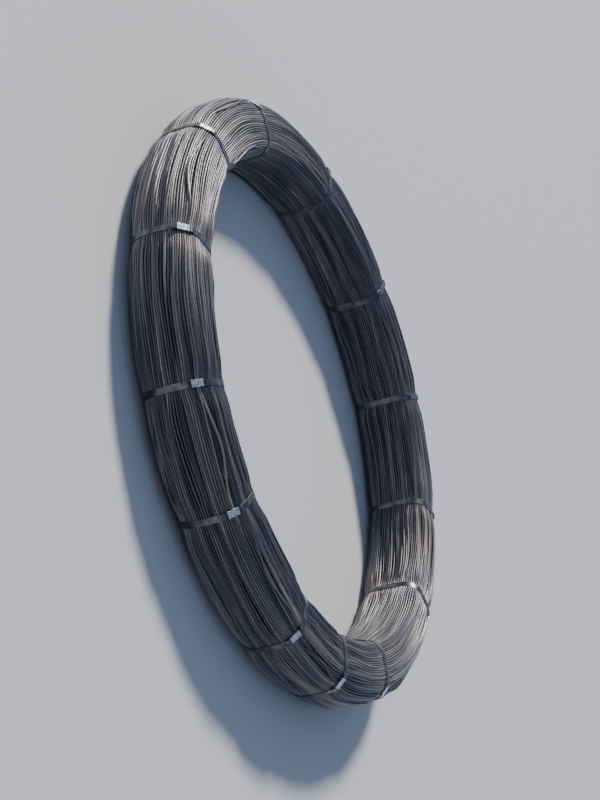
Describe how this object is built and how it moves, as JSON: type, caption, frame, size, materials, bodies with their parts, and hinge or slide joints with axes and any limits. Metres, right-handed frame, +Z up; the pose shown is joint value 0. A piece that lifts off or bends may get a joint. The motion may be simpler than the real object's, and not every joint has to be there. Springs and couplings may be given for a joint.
{
  "type": "coil of wire rod",
  "caption": "Slim ring coil of dark steel wire rod with a wide round eye, lying flat, held by flat steel straps with crimped seals.",
  "frame": {"origin": "on the axis of the eye, at the level the coil rests on", "axes": "+Z up along the axis of the eye; +X and +Y lie in the plane of the ring"},
  "size_m": [1.8899, 1.89, 0.215],
  "materials": {
    "rod_steel": "bare hot rolled rod, dark grey with a thin scale",
    "strap_steel": "cold rolled strapping, dark bright metal",
    "seal_steel": "bright zinc plated sheet"
  },
  "bodies": {
    "root": {"wire_coil": "rod_steel", "strap_01": "strap_steel", "strap_02": "strap_steel", "strap_03": "strap_steel", "strap_04": "strap_steel", "strap_05": "strap_steel", "strap_06": "strap_steel", "strap_07": "strap_steel", "strap_08": "strap_steel", "strap_09": "strap_steel", "strap_10": "strap_steel", "strap_11": "strap_steel", "strap_12": "strap_steel", "strap_13": "strap_steel", "seal_01": "seal_steel", "seal_02": "seal_steel", "seal_03": "seal_steel", "seal_04": "seal_steel", "seal_05": "seal_steel", "seal_06": "seal_steel", "seal_07": "seal_steel", "seal_08": "seal_steel", "seal_09": "seal_steel", "seal_10": "seal_steel", "seal_11": "seal_steel", "seal_12": "seal_steel", "seal_13": "seal_steel"}
  },
  "joints": []
}
